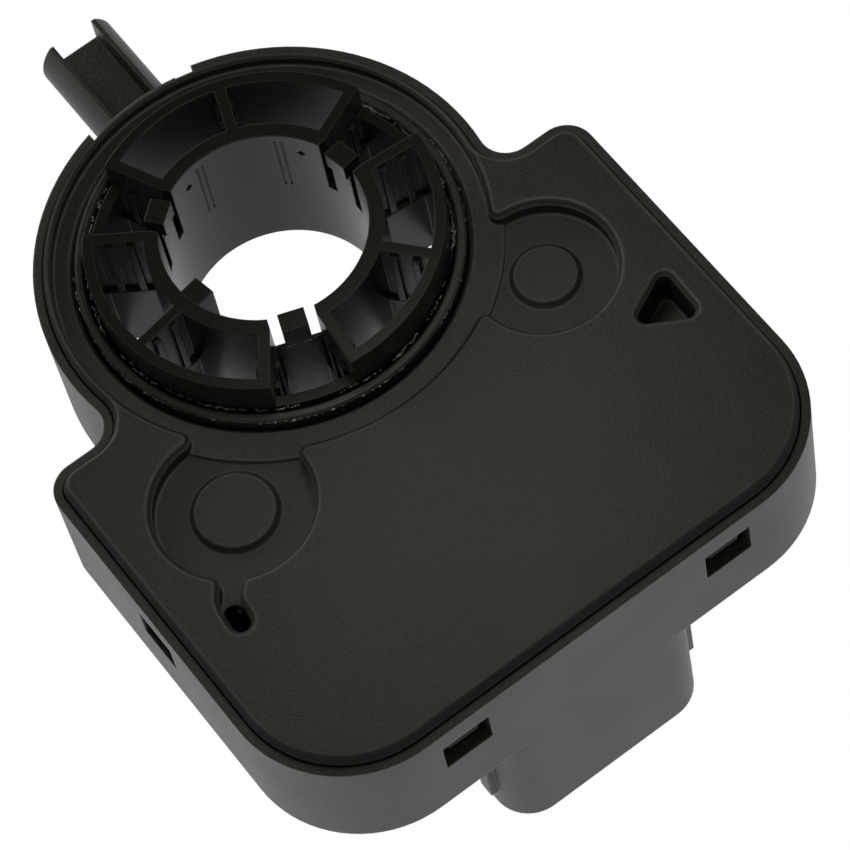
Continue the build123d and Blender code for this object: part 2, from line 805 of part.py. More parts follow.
def chip(label, place, size, leads_along, leads_across):
    """Moulded chip on the board, with leads on two or four sides."""
    length, width, height = size
    with BuildPart() as body:
        with BuildSketch(Plane(origin=(*place, board_top + lead_height / 2))):
            Rectangle(length, width)
        extrude(amount=height - lead_height / 2)
        with BuildSketch(Plane(origin=(*place, board_top))):
            with GridLocations(lead_pitch, 0, leads_along, 1):
                Rectangle(lead_width, width + 2 * lead_length)
            if leads_across:
                with GridLocations(0, lead_pitch, 1, leads_across):
                    Rectangle(length + 2 * lead_length, lead_width)
        extrude(amount=lead_height)
    body.part.label = label
    return body.part


def block(label, place, size):
    """Small moulded or ceramic part that sits flat on the board."""
    length, width, height = size
    with BuildPart() as body:
        with BuildSketch(Plane(origin=(*place, board_top))):
            RectangleRounded(length, width, block_corner)
        extrude(amount=height)
    body.part.label = label
    return body.part


def chip_group(label, places, size):
    """Group of like small chips, each standing by itself."""
    length, width, height = size
    with BuildPart() as group:
        with BuildSketch(Plane.XY.offset(board_top)):
            with Locations(*places):
                Rectangle(length, width)
        extrude(amount=height)
    group.part.label = label
    return group.part


def contact_pin(label, place):
    """Square pin from the circuit board down into the connector shroud."""
    with BuildPart() as pin:
        with BuildSketch(Plane(origin=(*place, -pin_reach))):
            Rectangle(pin_size, pin_size)
        extrude(amount=pin_reach + board_top + pin_rise)
        chamfer(pin.edges().group_by(Axis.Z)[0], pin_chamfer)
    pin.part.label = label
    return pin.part


# Circuit board, cut round the rotor
with BuildPart() as circuit_board:
    with BuildSketch(Plane.XY.offset(board_bottom)):
        add(board_body_plan)
        with Locations((0, -(front_reach + shoulder_reach + wall + board_margin) / 2)):
            Rectangle(body_width, front_reach - shoulder_reach - wall - board_margin, mode=Mode.INTERSECT)
        Circle(board_rotor_radius, mode=Mode.SUBTRACT)
        with Locations(*post_places):
            Circle(screw_radius + screw_play, mode=Mode.SUBTRACT)
        with Locations(*pin_places):
            Rectangle(pin_size + 2 * pin_fit, pin_size + 2 * pin_fit, mode=Mode.SUBTRACT)
    extrude(amount=board_thickness)
circuit_board.part.label = "circuit_board"

# Screws that hold the circuit board
with BuildPart() as board_screws:
    with BuildSketch(Plane.XY.offset(board_top)):
        with Locations(*post_places):
            Circle(screw_head_radius)
    extrude(amount=screw_head_height)
    with BuildSketch(Plane.XY.offset(board_bottom - screw_bite)):
        with Locations(*post_places):
            Circle(screw_radius)
    extrude(amount=board_thickness + screw_bite)
    with BuildSketch(Plane.XY.offset(board_top + screw_head_height)):
        with Locations(*post_places):
            Rectangle(cross_length, cross_width)
            Rectangle(cross_width, cross_length)
    extrude(amount=-cross_depth, mode=Mode.SUBTRACT)
board_screws.part.label = "board_screws"

# Upright capacitor: can on a square foot
with BuildPart() as buffer_capacitor:
    with BuildSketch(Plane(origin=(*on_board(buffer_place), board_top))):
        RectangleRounded(2 * buffer_radius, 2 * buffer_radius, block_corner)
    extrude(amount=buffer_foot)
    with BuildSketch(Plane(origin=(*on_board(buffer_place), board_top))):
        Circle(buffer_radius)
    extrude(amount=buffer_height)
    chamfer(buffer_capacitor.edges().group_by(Axis.Z)[-1], buffer_foot / 2)
buffer_capacitor.part.label = "buffer_capacitor"

pieces = [
    housing.part,
    cover.part,
    rotor_hub.part,
    drive_gear.part,
    measuring_gear("measuring_gear_a", gear_a_teeth, gear_a_direction, gear_a_centre),
    measuring_gear("measuring_gear_b", gear_b_teeth, gear_b_direction, gear_b_centre),
    magnet("magnet_a", gear_a_centre),
    magnet("magnet_b", gear_b_centre),
    circuit_board.part,
    board_screws.part,
    chip("angle_sensor_a", gear_a_centre, sensor_chip_size, small_chip_lead_count, 0),
    chip("angle_sensor_b", gear_b_centre, sensor_chip_size, small_chip_lead_count, 0),
    chip(
        "microcontroller",
        on_board(controller_place),
        controller_size,
        controller_lead_count,
        controller_lead_count,
    ),
    chip("bus_transceiver", on_board(transceiver_place), transceiver_size, small_chip_lead_count, 0),
    chip("voltage_regulator", on_board(regulator_place), regulator_size, regulator_lead_count, 0),
    block("crystal", on_board(crystal_place), crystal_size),
    block("line_choke", on_board(choke_place), choke_size),
    block("protection_diode", on_board(diode_place), diode_size),
    buffer_capacitor.part,
    chip_group("chip_capacitors", [on_board(place) for place in capacitor_places], chip_capacitor_size),
    chip_group("chip_resistors", [on_board(place) for place in resistor_places], chip_resistor_size),
]
for number, place in enumerate(pin_places, start=1):
    pieces.append(contact_pin(f"contact_pin_{number}", place))

os.makedirs("parts", exist_ok=True)
for piece in pieces:
    export_step(piece, f"parts/{piece.label}.step")
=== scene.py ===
import math

import bmesh
import bpy
from bpy.props import FloatProperty, FloatVectorProperty, IntProperty, PointerProperty
from bpy.types import Operator, Panel, PropertyGroup
from mathutils import Matrix, Vector, noise


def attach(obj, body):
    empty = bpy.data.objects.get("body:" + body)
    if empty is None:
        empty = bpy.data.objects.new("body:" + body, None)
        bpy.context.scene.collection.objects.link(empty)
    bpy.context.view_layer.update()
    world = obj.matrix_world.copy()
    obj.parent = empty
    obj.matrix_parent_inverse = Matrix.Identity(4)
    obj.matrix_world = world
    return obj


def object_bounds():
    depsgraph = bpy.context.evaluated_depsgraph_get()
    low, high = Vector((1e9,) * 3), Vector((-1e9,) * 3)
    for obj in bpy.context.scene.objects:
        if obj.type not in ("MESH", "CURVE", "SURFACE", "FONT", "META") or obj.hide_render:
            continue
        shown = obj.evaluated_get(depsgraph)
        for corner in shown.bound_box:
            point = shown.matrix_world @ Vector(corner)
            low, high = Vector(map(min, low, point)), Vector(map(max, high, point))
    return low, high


bl_info = {
    "name": "Steering angle sensor",
    "version": (1, 0, 0),
    "blender": (4, 5, 0),
    "location": "3D View > Sidebar > Sensor",
    "description": "Finishes, grease, floor, lamps and camera for a steering angle sensor",
    "category": "Object",
}

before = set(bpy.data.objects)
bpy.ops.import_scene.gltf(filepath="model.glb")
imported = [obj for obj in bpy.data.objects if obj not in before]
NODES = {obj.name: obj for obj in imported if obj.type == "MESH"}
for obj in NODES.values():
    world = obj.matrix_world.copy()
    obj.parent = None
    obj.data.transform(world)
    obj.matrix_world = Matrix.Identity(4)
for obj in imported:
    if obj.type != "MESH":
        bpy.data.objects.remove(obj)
CAD_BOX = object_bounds()
RIM_TOP = 0.0162                     # height of the housing's rim above its underside
PINS = [name for name in NODES if name.startswith("contact_pin_")]
BLACK_CHIPS = ["angle_sensor_a", "angle_sensor_b", "microcontroller", "bus_transceiver",
               "voltage_regulator", "line_choke", "protection_diode"]

# Black plastic
PITS_TO_TOPS = (0.35, 0.65)          # where in its noise the grain's pits end and its tops start
TONES = (0.5, 1.5)                   # share of its colour in the pits and on the tops
PATCH_SIZE = 0.012                   # size of the places where its gloss differs
GRAIN_GLOSS = 0.12                   # how far its roughness follows the grain
EDGE_SHEEN_SHARE = 0.8                    # how far an edge takes its paler colour: a painted highlight, partly also rubbed wear
EDGE_GLOSS = 0.05                    # how much smoother a rubbed edge is
EDGE_TURN = 0.07                     # 1 - the cosine of the turn that makes a full edge
DEEP_FADE = 0.0002                   # height over which the deep faces' paler painted light and rougher finish start
DEEP_PAINTED_LIGHT_TONES = (1.4, 3.0)              # as TONES, but paler: painted light on the faces below the plateau
DEEP_MATT = 0.08                     # how much rougher it is there
LEANING = (0.55, 0.92)               # upward part of the direction of a wall and of a flat face
LEAN_PAINTED_SHADE = 0.8                    # how far a wall takes its painted shade, a darker colour
LEAN_SHADE_TONE = 0.2                      # share of its colour in that painted shade
LEAN_MATT = 0.4                      # how much rougher a wall is

# Grease
GREASE_ROWS = ((0.0, 0.0), (0.00145, -0.00035))          # how far out from the gap and up from it
SMEAR_SIZE = (0.00006, 0.00030)      # the least half width of a smear, and what its amount adds

# Stage
FLOOR_RADIUS = 1.6
FLOOR_GAP = 0.0002                   # from the floor up to the sensor
FLOOR_GLOW = 0.985                   # share of white in what background rays see of the floor
SKY_TOP = 0.5                        # upward part of a direction where the sky is fully overhead
BACK_LAMP = (Vector((-0.15, 0.95, 0.27)), 0.5, 0.25)     # the way to it, its distance, its width
FRONT_LAMP = (Vector((-0.10, -0.42, 0.90)), 0.6, 0.30)


# ---- shader expressions ----

class Wire:
    """A socket of a node tree. Arithmetic on wires of numbers adds Math nodes."""

    def __init__(self, nodes, socket):
        self.nodes = nodes
        self.socket = socket

    def math(self, operation, first, second):
        return self.nodes.node("ShaderNodeMath", {"operation": operation}, {0: first, 1: second})

    def __add__(self, other):
        return self.math("ADD", self, other)

    __radd__ = __add__

    def __mul__(self, other):
        return self.math("MULTIPLY", self, other)

    __rmul__ = __mul__

    def __sub__(self, other):
        return self.math("SUBTRACT", self, other)

    def __rsub__(self, other):
        return self.math("SUBTRACT", other, self)

    def most(self, other):
        return self.math("MAXIMUM", self, other)

    def between(self, low, high):
        """0 at low and 1 at high, with a smooth run between them."""
        return self.nodes.node("ShaderNodeMapRange", {"interpolation_type": "SMOOTHSTEP"},
                               {"Value": self, "From Min": low, "From Max": high})


class Nodes:
    """The node tree of one finish or of the sky."""

    def __init__(self, tree):
        self.tree = tree

    def put(self, socket, value):
        if isinstance(value, Wire):
            self.tree.links.new(value.socket, socket)
        else:
            socket.default_value = value

    def node(self, kind, settings=None, inputs=None, output=0):
        """Adds a node of that kind, with its settings first and then what its sockets hold."""
        made = self.tree.nodes.new(kind)
        for key, value in (settings or {}).items():
            setattr(made, key, value)
        for key, value in (inputs or {}).items():
            self.put(made.inputs[key], value)
        return Wire(self, made.outputs[output])

    def upward(self, vector):
        """How far a point or a direction goes up."""
        return self.node("ShaderNodeSeparateXYZ", None, {"Vector": vector}, "Z")

    def background_rays(self):
        """1 for rays that see the background, straight or in gloss and glass."""
        camera = self.node("ShaderNodeLightPath", output="Is Camera Ray")
        glossy = self.node("ShaderNodeLightPath", output="Is Glossy Ray")
        through = self.node("ShaderNodeLightPath", output="Is Transmission Ray")
        return camera.most(glossy).most(through)

    def finish_with(self, kind, wire):
        """Leads the tree to its output node of that kind."""
        self.tree.links.new(wire.socket, self.tree.nodes[kind].inputs["Surface"])


class Finish(Nodes):
    """One material and the nodes that make it vary."""

    def __init__(self, name, **constants):
        self.material = bpy.data.materials.new(name)
        self.material.use_nodes = True
        super().__init__(self.material.node_tree)
        self.shader = self.tree.nodes["Principled BSDF"]
        self.feed(**constants)

    def feed(self, **values):
        """Gives sockets of the shader what is the same all over or varies over the surface."""
        for socket, value in values.items():
            self.put(self.shader.inputs[socket.replace("_", " ")], value)

    def place(self):
        """The point of the piece, in metres, in the piece's own frame."""
        return self.node("ShaderNodeTexCoord", output="Object")

    def direction(self):
        """The way the surface faces, in the piece's own frame."""
        return self.node("ShaderNodeTexCoord", output="Normal")

    def spots(self, size, detail=2.0, roughness=0.5, at=None):
        """Noise from 0 to 1 whose spots are about this size in metres."""
        return self.node("ShaderNodeTexNoise", None,
                         {"Vector": at or self.place(), "Scale": 1 / size,
                          "Detail": detail, "Roughness": roughness})

    def cell_walls(self, size):
        """How far the nearest wall between cells of this size in metres is, as a share of it."""
        return self.node("ShaderNodeTexVoronoi", {"feature": "DISTANCE_TO_EDGE"},
                         {"Vector": self.place(), "Scale": 1 / size}, "Distance")

    def stretched(self, x, y, z):
        """The piece's own point, scaled along each axis, for streaks."""
        return self.node("ShaderNodeVectorMath", {"operation": "MULTIPLY"},
                         {0: self.place(), 1: (x, y, z)})

    def blend(self, factor, first, second):
        return self.node("ShaderNodeMix", {"data_type": "RGBA"},
                         {0: factor, 6: first, 7: second}, 2)

    def rounded(self, radius):
        """The surface's direction with its edges rounded to this radius."""
        return self.node("ShaderNodeBevel", {"samples": 6}, {"Radius": radius})

    def edges(self, rounded):
        """1 on a rounded edge and 0 on an open face."""
        face = self.node("ShaderNodeNewGeometry", output="Normal")
        same = self.node("ShaderNodeVectorMath", {"operation": "DOT_PRODUCT"},
                         {0: rounded, 1: face}, "Value")
        return (1 - same).between(0.0, EDGE_TURN)

    def bumps(self, height, depth, normal=None):
        inputs = {"Height": height, "Distance": depth}
        if normal:
            inputs["Normal"] = normal
        return self.node("ShaderNodeBump", None, inputs)

    def dress(self, *names):
        """Gives the finish to CAD nodes."""
        for name in names:
            for holder in NODES[name].material_slots:
                holder.material = self.material


def rgba(colour):
    return (*colour, 1.0)


def scaled(colour, factor):
    return rgba([channel * factor for channel in colour])


# ---- settings ----

class MouldingSettings(PropertyGroup):
    cover_colour: FloatVectorProperty(
        name="Cover colour", description="Colour of the grained cover",
        subtype="COLOR", size=3, default=(0.0140, 0.0131, 0.0106), min=0, max=1)
    housing_colour: FloatVectorProperty(
        name="Housing colour", description="Colour of the housing",
        subtype="COLOR", size=3, default=(0.0220, 0.0220, 0.0160), min=0, max=1)
    rotor_colour: FloatVectorProperty(
        name="Rotor colour", description="Colour of the rotor's hub",
        subtype="COLOR", size=3, default=(0.0170, 0.0160, 0.0130), min=0, max=1)
    ring_colour: FloatVectorProperty(
        name="Ring colour", description="Colour of the drive gear around the hub",
        subtype="COLOR", size=3, default=(0.0260, 0.0245, 0.0200), min=0, max=1)
    grain: FloatProperty(
        name="Grain size", description="Size of the spark grain on the cover",
        unit="LENGTH", default=0.00022, min=0.00005, max=0.002)
    grain_depth: FloatProperty(
        name="Grain depth", description="Depth of the spark grain on the cover",
        unit="LENGTH", default=0.00008, min=0, max=0.0005)
    edge_round: FloatProperty(
        name="Edge rounding", description="Radius of the cover's moulded edges",
        unit="LENGTH", default=0.00060, min=0, max=0.002)
    # below this depth the cover is rougher and its colour is painted paler, as painted light
    deep_step: FloatProperty(
        name="Deep faces", description="Depth below its plateau where the cover's grain is coarser",
        unit="LENGTH", default=0.0009, min=0, max=0.01)


class InsideSettings(PropertyGroup):
    gear_colour: FloatVectorProperty(
        name="Gear colour", description="Colour of the measuring gears",
        subtype="COLOR", size=3, default=(0.62, 0.60, 0.53), min=0, max=1)
    board_colour: FloatVectorProperty(
        name="Board colour", description="Colour of the board's mask",
        subtype="COLOR", size=3, default=(0.006, 0.034, 0.014), min=0, max=1)
    tin_colour: FloatVectorProperty(
        name="Tin colour", description="Colour of the tinned pins",
        subtype="COLOR", size=3, default=(0.62, 0.60, 0.54), min=0, max=1)


class GreaseSettings(PropertyGroup):
    colour: FloatVectorProperty(
        name="Grease colour", description="Colour of the grease in the running gap",
        subtype="COLOR", size=3, default=(0.055, 0.050, 0.040), min=0, max=1)
    radius: FloatProperty(
        name="Gap radius", description="Radius of the gap between the hub and its ring",
        unit="LENGTH", default=0.0212, min=0.001, max=0.1)
    lift: FloatProperty(
        name="Height", description="Height of the gap's grease above the housing's underside",
        unit="LENGTH", default=0.01695, min=0, max=0.1)
    smears: IntProperty(
        name="Smears", description="Places along each row that may hold grease",
        default=340, min=1, max=1000)


class StageSettings(PropertyGroup):
    azimuth: FloatProperty(
        name="Azimuth", description="Side that the camera looks from",
        subtype="ANGLE", default=math.radians(-24.108))
    elevation: FloatProperty(
        name="Elevation", description="Height that the camera looks from",
        subtype="ANGLE", default=math.radians(61.357))
    roll: FloatProperty(
        name="Roll", description="Turn of the camera about its line of sight",
        subtype="ANGLE", default=math.radians(-13.924))
    distance: FloatProperty(
        name="Distance", description="Camera to the middle of the bore",
        unit="LENGTH", default=0.49254, min=0.05, max=10)
    aim: FloatVectorProperty(
        name="Aim", description="How far left of and above the image's middle the bore is seen",
        size=2, unit="LENGTH", default=(0.017767, 0.020069))
    lens: FloatProperty(
        name="Lens", description="Focal length in millimetres",
        default=182.04, min=10, max=1000)
    floor_colour: FloatVectorProperty(
        name="Floor colour", description="Colour of the floor",
        subtype="COLOR", size=3, default=(0.82, 0.82, 0.81), min=0, max=1)
    near_power: FloatProperty(
        name="Near lamp power", description="Power in watts of the lamp near the cover",
        default=0.023, min=0, max=100)
    near_size: FloatProperty(
        name="Near lamp size", description="Width of the lamp near the cover",
        unit="LENGTH", default=0.05, min=0.001, max=5)
    near_distance: FloatProperty(
        name="Near lamp distance", description="Distance from that lamp to the cover",
        unit="LENGTH", default=0.10, min=0.01, max=5)
    back_power: FloatProperty(
        name="Back lamp power", description="Power in watts of the lamp low behind the sensor",
        default=0.45, min=0, max=100)
    front_power: FloatProperty(
        name="Front lamp power", description="Power in watts of the lamp on the camera's side",
        default=0.22, min=0, max=100)
    lamp_aim: FloatVectorProperty(
        name="Lamp aim", description="Place on the cover that the lamps point to",
        size=3, unit="LENGTH", default=(-0.006, -0.052, 0.0177))
    lamp_colour: FloatVectorProperty(
        name="Lamp colour", description="Colour of the lamps",
        subtype="COLOR", size=3, default=(1.0, 0.96, 0.84), min=0, max=1)
    sky_low: FloatProperty(
        name="Sky at the horizon", description="Strength of the light from the sides",
        default=0.95, min=0, max=10)
    sky_high: FloatProperty(
        name="Sky overhead", description="Strength of the light from above",
        default=0.04, min=0, max=10)


# ---- finishes ----

def moulding(name, colour, grain, depth, edge_round, rough, shine=0.5, patch=0.05, edge_sheen_and_wear=2.4,
             deep_below=None):
    """Black moulded plastic: spark grain, paler edges that are a painted highlight and partly
    rubbed wear, and a little unevenness in gloss.

    rough is its mean roughness, patch is how much that differs from place to place, and
    edge_sheen_and_wear is how many times paler an edge is, a painted highlight that partly also
    stands for rubbed wear. Faces below deep_below, where it is given, are more matt and are painted
    paler as painted light, and the walls that lead down to them are painted darker as painted shade
    and are dull."""
    finish = Finish(name, Specular_IOR_Level=shine)
    rounded = finish.rounded(edge_round)
    edge = finish.edges(rounded)
    fine = finish.spots(grain, 3.0, 0.6)
    tops = fine.between(*PITS_TO_TOPS)
    broad = finish.spots(PATCH_SIZE, 3.0, 0.55).between(0.25, 0.75)
    plain = finish.blend(tops, *(scaled(colour, tone) for tone in TONES))
    matt = (broad * patch + fine * GRAIN_GLOSS + (rough - GRAIN_GLOSS / 2 - patch / 2)
            - edge * EDGE_GLOSS)
    if deep_below is not None:
        deep = 1 - finish.upward(finish.place()).between(deep_below - DEEP_FADE, deep_below)
        # faces below deep_below take paler tones: painted light
        deep_painted_light = finish.blend(tops, *(scaled(colour, tone) for tone in DEEP_PAINTED_LIGHT_TONES))
        lean = 1 - finish.upward(finish.direction()).between(*LEANING)
        # walls that lead down are painted darker: painted shade
        plain = finish.blend(lean * LEAN_PAINTED_SHADE, finish.blend(deep, plain, deep_painted_light),
                             scaled(colour, LEAN_SHADE_TONE))
        matt = matt + deep * DEEP_MATT + lean * LEAN_MATT
    # edges take a paler colour: a painted highlight along rounded edges, partly also rubbed wear
    finish.feed(Base_Color=finish.blend(edge * EDGE_SHEEN_SHARE, plain, scaled(colour, edge_sheen_and_wear)),
                Roughness=matt,
                Normal=finish.bumps(fine, depth, rounded))
    return finish


class SENSOR_OT_cover(Operator):
    """Finishes the cover with its spark grain"""

    bl_idname = "sensor.cover"
    bl_label = "Cover"

    def execute(self, context):
        look = context.scene.sensor_moulding
        plateau = max(corner[2] for corner in NODES["cover"].bound_box)
        # the cover's edges are painted far paler, as a painted highlight
        moulding("cover_grain", look.cover_colour, look.grain, look.grain_depth, look.edge_round,
                 rough=0.44, edge_sheen_and_wear=9.0, deep_below=plateau - look.deep_step).dress("cover")
        return {"FINISHED"}


class SENSOR_OT_housing(Operator):
    """Finishes the housing with a deeper grain and sharper edges than the cover's"""

    bl_idname = "sensor.housing"
    bl_label = "Housing"

    def execute(self, context):
        look = context.scene.sensor_moulding
        moulding("housing_moulding", look.housing_colour, look.grain, look.grain_depth * 1.2,
                 look.edge_round * 0.6, rough=0.46).dress("housing")
        return {"FINISHED"}


class SENSOR_OT_rotor(Operator):
    """Finishes the hub, which is smoother than the cover, and the ring around it"""

    bl_idname = "sensor.rotor"
    bl_label = "Rotor"

    def execute(self, context):
        look = context.scene.sensor_moulding
        edge_round = look.edge_round * 0.4
        moulding("rotor_moulding", look.rotor_colour, look.grain * 0.6, look.grain_depth * 0.25,
                 edge_round, rough=0.24, shine=0.17, patch=0.04).dress("rotor_hub")
        moulding("ring_moulding", look.ring_colour, look.grain, look.grain_depth * 0.5,
                 edge_round, rough=0.42, patch=0.08).dress("drive_gear")
        return {"FINISHED"}


class SENSOR_OT_gears(Operator):
    """Finishes the measuring gears and their magnets"""

    bl_idname = "sensor.gears"
    bl_label = "Measuring gears"

    def execute(self, context):
        colour = context.scene.sensor_inside.gear_colour
        gear = Finish("gear_acetal", Subsurface_Weight=0.15, Subsurface_Scale=0.001)
        cloud = gear.spots(0.004, 3.0)
        gear.feed(Base_Color=gear.blend(cloud, scaled(colour, 0.92), scaled(colour, 1.05)),
                  Roughness=cloud * 0.12 + 0.30,
                  Normal=gear.bumps(gear.spots(0.0003), 0.000006, gear.rounded(0.0001)))
        gear.dress("measuring_gear_a", "measuring_gear_b")
        ferrite = Finish("magnet_ferrite")
        pores = ferrite.spots(0.00012, 4.0, 0.7)
        ferrite.feed(Base_Color=ferrite.blend(pores, rgba((0.020, 0.020, 0.021)),
                                              rgba((0.070, 0.070, 0.074))),
                     Roughness=pores * 0.3 + 0.45,
                     Normal=ferrite.bumps(pores, 0.00002, ferrite.rounded(0.00015)))
        ferrite.dress("magnet_a", "magnet_b")
        return {"FINISHED"}


class SENSOR_OT_board(Operator):
    """Finishes the circuit board, the parts on it and its screws"""

    bl_idname = "sensor.board"
    bl_label = "Circuit board"

    def execute(self, context):
        self.board(context.scene.sensor_inside.board_colour)
        self.chips()
        self.metal_parts()
        return {"FINISHED"}

    @staticmethod
    def board(colour):
        """The board's mask, with paler tracks under it along the walls of cells."""
        board = Finish("board_mask", Coat_Weight=0.25, Coat_Roughness=0.15)
        track = 1 - board.cell_walls(0.0032).between(0.04, 0.07)
        weave = board.spots(0.0006, 2.0)
        mask = board.blend(weave, scaled(colour, 0.85), scaled(colour, 1.1))
        board.feed(Base_Color=board.blend(track * 0.6, mask, scaled(colour, 1.9)),
                   Roughness=weave * 0.10 + 0.28,
                   Normal=board.bumps(track, 0.00003, board.rounded(0.0001)))
        board.dress("circuit_board")

    @staticmethod
    def chips():
        chip = Finish("chip_epoxy")
        grain = chip.spots(0.00009, 3.0, 0.65)
        chip.feed(Base_Color=chip.blend(grain, rgba((0.010, 0.010, 0.011)),
                                        rgba((0.024, 0.024, 0.025))),
                  Roughness=grain * 0.2 + 0.48,
                  Normal=chip.bumps(grain, 0.000012, chip.rounded(0.00008)))
        chip.dress(*BLACK_CHIPS)
        ceramic = Finish("chip_ceramic")
        speck = ceramic.spots(0.0002, 3.0)
        ceramic.feed(Base_Color=ceramic.blend(speck, rgba((0.22, 0.145, 0.080)),
                                              rgba((0.33, 0.23, 0.135))),
                     Roughness=speck * 0.2 + ceramic.upward(ceramic.place()) * 4.0 + 0.33,
                     Normal=ceramic.bumps(speck, 0.00001, ceramic.rounded(0.00008)))
        ceramic.dress("chip_capacitors", "chip_resistors")

    @staticmethod
    def metal_parts():
        zinc = Finish("screw_zinc", Metallic=1.0)
        turned = zinc.spots(0.0004, 3.0, at=zinc.stretched(1, 1, 6))
        zinc.feed(Base_Color=zinc.blend(turned, rgba((0.42, 0.43, 0.45)),
                                        rgba((0.60, 0.60, 0.60))),
                  Roughness=turned * 0.25 + 0.22,
                  Normal=zinc.bumps(turned, 0.00001, zinc.rounded(0.0001)))
        zinc.dress("board_screws")
        can = Finish("drawn_can", Metallic=1.0)
        drawn = can.spots(0.0005, 2.0, at=can.stretched(1, 1, 0.15))
        can.feed(Base_Color=can.blend(drawn, rgba((0.62, 0.63, 0.65)), rgba((0.75, 0.75, 0.76))),
                 Roughness=drawn * 0.2 + 0.20,
                 Normal=can.bumps(drawn, 0.000008, can.rounded(0.00015)))
        can.dress("buffer_capacitor", "crystal")


class SENSOR_OT_pins(Operator):
    """Finishes the contact pins of the connector"""

    bl_idname = "sensor.pins"
    bl_label = "Contact pins"

    def execute(self, context):
        colour = context.scene.sensor_inside.tin_colour
        tin = Finish("pin_tin", Metallic=1.0)
        drawn = tin.spots(0.0003, 3.0, at=tin.stretched(1, 1, 0.12))
        dull = tin.spots(0.0015, 3.0)
        tin.feed(Base_Color=tin.blend(dull.between(0.35, 0.75), rgba(colour), scaled(colour, 0.72)),
                 Roughness=drawn * 0.22 + dull * 0.15 + 0.12,
                 Normal=tin.bumps(drawn, 0.000006, tin.rounded(0.00006)))
        tin.dress(*PINS)
        return {"FINISHED"}


class SENSOR_OT_grease(Operator):
    """Lays smears of grease around the hub, in the gap to its ring and along the ring's edge"""

    bl_idname = "sensor.grease"
    bl_label = "Running grease"

    def execute(self, context):
        look = context.scene.sensor_grease
        least, more = SMEAR_SIZE
        bm = bmesh.new()
        for row, (out, up) in enumerate(GREASE_ROWS):
            for n in range(look.smears):
                amount = self.amount(row, n)
                if amount > 0:
                    self.smear(bm, look.radius + out, look.lift + up,
                               math.tau * n / look.smears, least + more * amount, n + row / 2)
        mesh = bpy.data.meshes.new("running_grease")
        bm.to_mesh(mesh)
        bm.free()
        mesh.shade_smooth()
        grease = bpy.data.objects.new("running_grease", mesh)
        context.scene.collection.objects.link(grease)
        finish = Finish("grease", Specular_IOR_Level=0.8, Coat_Weight=1.0, Coat_Roughness=0.04)
        wet = finish.spots(0.0005, 3.0)
        finish.feed(Base_Color=finish.blend(wet, scaled(look.colour, 0.7),
                                            scaled(look.colour, 1.3)),
                    Roughness=wet * 0.2 + 0.06,
                    Normal=finish.bumps(wet, 0.00006))
        mesh.materials.append(finish.material)
        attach(grease, "rotor")
        return {"FINISHED"}

    @staticmethod
    def amount(row, n):
        """How much grease the n-th place of a row holds: long stretches, broken up."""
        stretch = noise.noise(Vector((n * 0.07, row * 5.3, 4.1)))
        broken = noise.noise(Vector((n * 0.93, row * 3.1, 8.6)))
        return 0.7 * stretch + 0.6 * broken

    @staticmethod
    def smear(bm, radius, lift, turn, size, seed):
        """One low smear that follows the gap."""
        ball = bmesh.ops.create_icosphere(bm, subdivisions=2, radius=1.0)["verts"]
        long = 0.0001 + size * (1.6 + 1.4 * noise.noise(Vector((seed * 0.71, 7.7, 0.2))))
        drift = 0.0003 * noise.noise(Vector((seed * 0.83, 2.7, 9.2)))
        for v in ball:
            wave = 1 + 0.5 * noise.noise(v.co * 2 + Vector((seed, 0, 0)))
            angle = turn + v.co.x * long * wave / radius
            reach = radius + drift + v.co.y * size * wave
            v.co = Vector((math.cos(angle) * reach, math.sin(angle) * reach,
                           lift + v.co.z * size * 0.6))


# ---- stage ----

def away_from(look):
    """Direction from the sensor to the camera."""
    return Vector((math.cos(look.elevation) * math.sin(look.azimuth),
                   -math.cos(look.elevation) * math.cos(look.azimuth),
                   math.sin(look.elevation)))


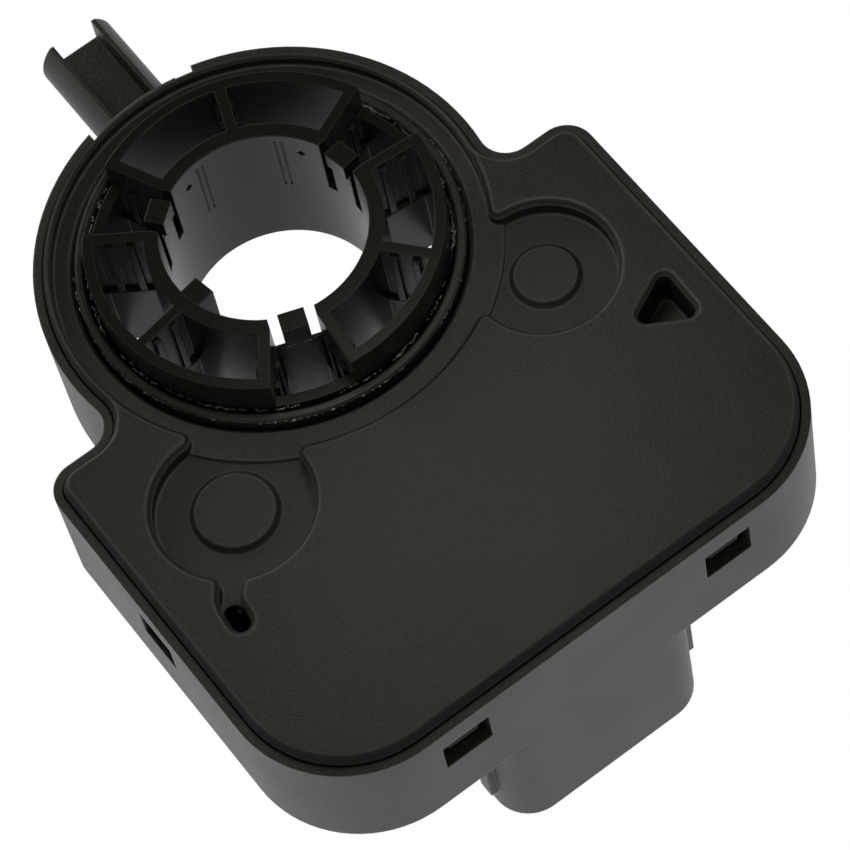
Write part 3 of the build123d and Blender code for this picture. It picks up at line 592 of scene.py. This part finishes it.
class SENSOR_OT_stage(Operator):
    """Sets the pale floor, the lamps, the sky and the camera"""

    bl_idname = "sensor.stage"
    bl_label = "Stage"

    def execute(self, context):
        look = context.scene.sensor_stage
        self.floor(context, look)
        self.lamps(context, look)
        self.sky(context, look)
        self.camera(context, look)
        context.scene.view_settings.view_transform = "Standard"
        return {"FINISHED"}

    @staticmethod
    def floor(context, look):
        bm = bmesh.new()
        bmesh.ops.create_circle(bm, cap_ends=True, segments=64, radius=FLOOR_RADIUS)
        bmesh.ops.translate(bm, verts=bm.verts, vec=(0, 0, CAD_BOX[0][2] - FLOOR_GAP))
        mesh = bpy.data.meshes.new("floor")
        bm.to_mesh(mesh)
        bm.free()
        floor = bpy.data.objects.new("floor", mesh)
        context.scene.collection.objects.link(floor)
        finish = Finish("floor_paper", Roughness=0.9, Specular_IOR_Level=0.1)
        fibre = finish.spots(0.02, 3.0)
        finish.feed(Base_Color=finish.blend(fibre, scaled(look.floor_colour, 0.99),
                                            rgba(look.floor_colour)))
        paper = Wire(finish, finish.shader.outputs[0])
        white = finish.node("ShaderNodeEmission", None, {"Strength": 1.0})
        glow = finish.background_rays() * FLOOR_GLOW
        finish.finish_with("Material Output",
                           finish.node("ShaderNodeMixShader", None, {0: glow, 1: paper, 2: white}))
        mesh.materials.append(finish.material)

    @staticmethod
    def lamps(context, look):
        """A near lamp that shines off the front of the cover, one low behind the sensor and one
        high on the camera's side."""
        away = away_from(look)
        near_lamp = (Vector((-away.x, -away.y, away.z)), look.near_distance, look.near_size)
        for name, (toward, distance, size), power in (
                ("lamp_over", near_lamp, look.near_power),
                ("lamp_behind", BACK_LAMP, look.back_power),
                ("lamp_front", FRONT_LAMP, look.front_power)):
            lamp = bpy.data.lights.new(name, "AREA")
            lamp.shape = "DISK"
            lamp.size = size
            lamp.energy = power
            lamp.color = look.lamp_colour
            holder = bpy.data.objects.new(name, lamp)
            holder.location = Vector(look.lamp_aim) + toward.normalized() * distance
            holder.rotation_euler = toward.to_track_quat("Z", "Y").to_euler()
            context.scene.collection.objects.link(holder)

    @staticmethod
    def sky(context, look):
        """Light from all round: pale at the horizon, dimmer overhead, and white to the camera."""
        world = bpy.data.worlds.new("sky")
        world.use_nodes = True
        nodes = Nodes(world.node_tree)
        up = nodes.upward(nodes.node("ShaderNodeTexCoord", output="Generated"))
        level = look.sky_low + up.between(0.0, SKY_TOP) * (look.sky_high - look.sky_low)
        seen = nodes.node("ShaderNodeLightPath", output="Is Camera Ray")
        light = nodes.node("ShaderNodeBackground", None,
                           {"Color": (1, 1, 1, 1), "Strength": level})
        white = nodes.node("ShaderNodeBackground", None,
                           {"Color": (1, 1, 1, 1), "Strength": 1.0})
        nodes.finish_with("World Output",
                          nodes.node("ShaderNodeMixShader", None, {0: seen, 1: light, 2: white}))
        context.scene.world = world

    @staticmethod
    def camera(context, look):
        lens = bpy.data.cameras.new("camera")
        lens.lens = look.lens
        lens.sensor_width = 36.0
        lens.clip_start = 0.01
        lens.dof.use_dof = False
        camera = bpy.data.objects.new("camera", lens)
        away = away_from(look)
        level = Vector((math.cos(look.azimuth), math.sin(look.azimuth), 0))
        upright = away.cross(level)
        right = level * math.cos(look.roll) + upright * math.sin(look.roll)
        up = away.cross(right)
        bore = Vector((0, 0, RIM_TOP))
        place = bore + away * look.distance + right * look.aim[0] - up * look.aim[1]
        turn = Matrix((right, up, away)).transposed()
        camera.matrix_world = Matrix.Translation(place) @ turn.to_4x4()
        context.scene.collection.objects.link(camera)
        context.scene.camera = camera


# ---- add-on ----

class SENSOR_PT_panel(Panel):
    """Lists the sensor's pieces and its stage"""

    bl_idname = "SENSOR_PT_panel"
    bl_label = "Steering angle sensor"
    bl_space_type = "VIEW_3D"
    bl_region_type = "UI"
    bl_category = "Sensor"

    def draw(self, context):
        for group, steps in PANEL_ROWS:
            box = self.layout.box()
            settings = getattr(context.scene, group)
            for key in settings.bl_rna.properties.keys():
                if key not in ("rna_type", "name"):
                    box.prop(settings, key)
            for step in steps:
                box.operator(step.bl_idname)


SETTINGS = {"sensor_moulding": MouldingSettings, "sensor_inside": InsideSettings,
            "sensor_grease": GreaseSettings, "sensor_stage": StageSettings}
PANEL_ROWS = (("sensor_moulding", (SENSOR_OT_cover, SENSOR_OT_housing, SENSOR_OT_rotor)),
              ("sensor_inside", (SENSOR_OT_gears, SENSOR_OT_board, SENSOR_OT_pins)),
              ("sensor_grease", (SENSOR_OT_grease,)),
              ("sensor_stage", (SENSOR_OT_stage,)))
STEPS = tuple(step for group, steps in PANEL_ROWS for step in steps)
CLASSES = (*SETTINGS.values(), *STEPS, SENSOR_PT_panel)


def register():
    for one in CLASSES:
        bpy.utils.register_class(one)
    for name, kind in SETTINGS.items():
        setattr(bpy.types.Scene, name, PointerProperty(type=kind))


def unregister():
    for name in SETTINGS:
        delattr(bpy.types.Scene, name)
    for one in reversed(CLASSES):
        bpy.utils.unregister_class(one)


def main():
    register()
    for step in STEPS:
        group, name = step.bl_idname.split(".")
        getattr(getattr(bpy.ops, group), name)()


if __name__ == "__main__":
    main()
